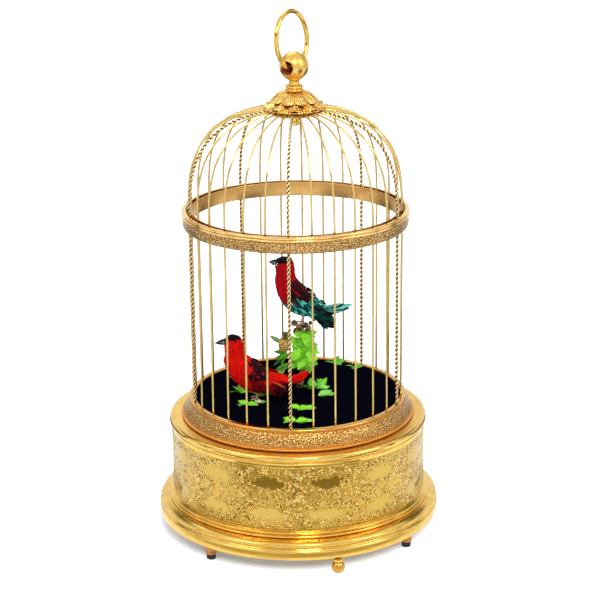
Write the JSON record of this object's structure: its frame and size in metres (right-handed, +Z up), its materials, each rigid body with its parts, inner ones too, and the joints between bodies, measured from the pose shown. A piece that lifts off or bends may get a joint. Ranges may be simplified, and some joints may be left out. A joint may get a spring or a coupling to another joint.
{
  "type": "singing bird automaton",
  "caption": "Gilt wire bird cage on an engraved drum, with singing birds that turn, open their beaks and lift their tails over a clockwork movement.",
  "frame": {"origin": "centre of the base, on the table that the feet stand on", "axes": "+Z up along the cage, -Y towards the viewer that the start and stop knob faces, +X to that viewer's right"},
  "size_m": [0.16, 0.16, 0.2971],
  "materials": {
    "polished_gilt_brass": "polished gilt",
    "engraved_gilt_brass": "polished gilt, engraved with scrolls",
    "embossed_gilt_brass": "embossed gilt",
    "brushed_gilt_brass": "satin gilt",
    "movement_brass": "satin",
    "foot_brass": "lacquered, with a black rubber pad",
    "key_steel": "nickelled",
    "flock": "dark flocked board",
    "bellows_leather": "thin leather",
    "foliage": "wire twig with stiffened cloth leaves",
    "maroon_feather": "small feathers",
    "crimson_feather": "small feathers",
    "scarlet_feather": "small feathers",
    "teal_feather": "long feathers",
    "black_horn": "gloss black"
  },
  "bodies": {
    "case": {"base_housing": "engraved_gilt_brass", "bottom_plate": "movement_brass", "foot_1": "foot_brass", "foot_2": "foot_brass", "foot_3": "foot_brass", "foot_4": "foot_brass", "seat_ring": "embossed_gilt_brass", "floor_disc": "flock", "mid_band_outer": "embossed_gilt_brass", "mid_band_inner": "brushed_gilt_brass", "crown_cap": "polished_gilt_brass", "wire_gather_nut": "movement_brass", "finial": "polished_gilt_brass", "movement_frame": "movement_brass", "perch_branch": "foliage", "perched_bird_body": "maroon_feather", "ground_bird_body": "crimson_feather", "twisted_wire_00": "polished_gilt_brass", "plain_wire_01": "polished_gilt_brass", "plain_wire_02": "polished_gilt_brass", "plain_wire_03": "polished_gilt_brass", "plain_wire_04": "polished_gilt_brass", "plain_wire_05": "polished_gilt_brass", "twisted_wire_06": "polished_gilt_brass", "plain_wire_07": "polished_gilt_brass", "plain_wire_08": "polished_gilt_brass", "plain_wire_09": "polished_gilt_brass", "plain_wire_10": "polished_gilt_brass", "plain_wire_11": "polished_gilt_brass", "twisted_wire_12": "polished_gilt_brass", "plain_wire_13": "polished_gilt_brass", "plain_wire_14": "polished_gilt_brass", "plain_wire_15": "polished_gilt_brass", "plain_wire_16": "polished_gilt_brass", "plain_wire_17": "polished_gilt_brass", "twisted_wire_18": "polished_gilt_brass", "plain_wire_19": "polished_gilt_brass", "plain_wire_20": "polished_gilt_brass", "plain_wire_21": "polished_gilt_brass", "plain_wire_22": "polished_gilt_brass", "plain_wire_23": "polished_gilt_brass", "twisted_wire_24": "polished_gilt_brass", "plain_wire_25": "polished_gilt_brass", "plain_wire_26": "polished_gilt_brass", "plain_wire_27": "polished_gilt_brass", "plain_wire_28": "polished_gilt_brass", "plain_wire_29": "polished_gilt_brass"},
    "ring": {"hanging_ring": "polished_gilt_brass"},
    "key": {"winding_key": "key_steel"},
    "lever": {"start_stop_lever": "polished_gilt_brass"},
    "barrel": {"mainspring_barrel": "movement_brass"},
    "cams": {"song_cams": "movement_brass"},
    "fly": {"governor_fly": "key_steel"},
    "bellows_board": {"bellows": "bellows_leather"},
    "upper_head": {"perched_bird_head": "scarlet_feather"},
    "upper_beak": {"perched_bird_beak": "black_horn"},
    "upper_tail": {"perched_bird_tail": "teal_feather"},
    "lower_head": {"ground_bird_head": "scarlet_feather"},
    "lower_beak": {"ground_bird_beak": "black_horn"},
    "lower_tail": {"ground_bird_tail": "scarlet_feather"}
  },
  "joints": [
    {"name": "ring_swing", "type": "hinge", "parent": "case", "child": "ring", "pos_m": [0, 0, 0.26613], "axis": [0.5299, 0.848, 0], "range_deg": [-115, 115]},
    {"name": "key_wind", "type": "hinge", "parent": "case", "child": "key", "pos_m": [-0.02, 0.006, 0], "axis": [0, 0, 1], "continuous": true},
    {"name": "lever_swing", "type": "hinge", "parent": "case", "child": "lever", "pos_m": [0.01603, -0.05782, 0.01], "axis": [0, 0, 1], "range_deg": [0, 14]},
    {"name": "barrel_turn", "type": "hinge", "parent": "case", "child": "barrel", "pos_m": [-0.02, 0.006, 0.03], "axis": [0, 0, 1], "continuous": true},
    {"name": "cams_turn", "type": "hinge", "parent": "case", "child": "cams", "pos_m": [0.01025, 0.006, 0.03], "axis": [0, 0, 1], "continuous": true},
    {"name": "fly_turn", "type": "hinge", "parent": "case", "child": "fly", "pos_m": [0.02224, -0.00406, 0.03], "axis": [0, 0, 1], "continuous": true},
    {"name": "bellows_pump", "type": "hinge", "parent": "case", "child": "bellows_board", "pos_m": [-0.03, 0.014, 0.0463], "axis": [0, -1, 0], "range_deg": [0, 8]},
    {"name": "upper_head_turn", "type": "hinge", "parent": "case", "child": "upper_head", "pos_m": [-0.0061, 0, 0.1499], "axis": [0, 0, 1], "range_deg": [-25, 25], "stiffness_Nm_per_rad": 0.0005},
    {"name": "upper_tail_lift", "type": "hinge", "parent": "case", "child": "upper_tail", "pos_m": [0.0154, 0, 0.12877], "axis": [0, -1, 0], "range_deg": [0, 12], "stiffness_Nm_per_rad": 0.004, "springref_deg": -5.73},
    {"name": "upper_beak_open", "type": "hinge", "parent": "upper_head", "child": "upper_beak", "pos_m": [-0.01261, 0, 0.15403], "axis": [0, -1, 0], "range_deg": [0, 15]},
    {"name": "lower_head_turn", "type": "hinge", "parent": "case", "child": "lower_head", "pos_m": [-0.0354, -0.01, 0.1063], "axis": [0, 0, 1], "range_deg": [-25, 25], "stiffness_Nm_per_rad": 0.0005},
    {"name": "lower_tail_lift", "type": "hinge", "parent": "case", "child": "lower_tail", "pos_m": [-0.0082, -0.01, 0.0876], "axis": [0, -1, 0], "range_deg": [0, 12], "stiffness_Nm_per_rad": 0.004, "springref_deg": -5.73},
    {"name": "lower_beak_open", "type": "hinge", "parent": "lower_head", "child": "lower_beak", "pos_m": [-0.04124, -0.01, 0.11093], "axis": [0, -1, 0], "range_deg": [0, 15]}
  ],
  "couplings": [
    {"joint": "cams_turn", "follows": "barrel_turn", "ratio": -4},
    {"joint": "fly_turn", "follows": "barrel_turn", "ratio": 18},
    {"joint": "upper_beak_open", "follows": "upper_tail_lift", "ratio": 1.25},
    {"joint": "lower_beak_open", "follows": "lower_tail_lift", "ratio": 1.25}
  ]
}
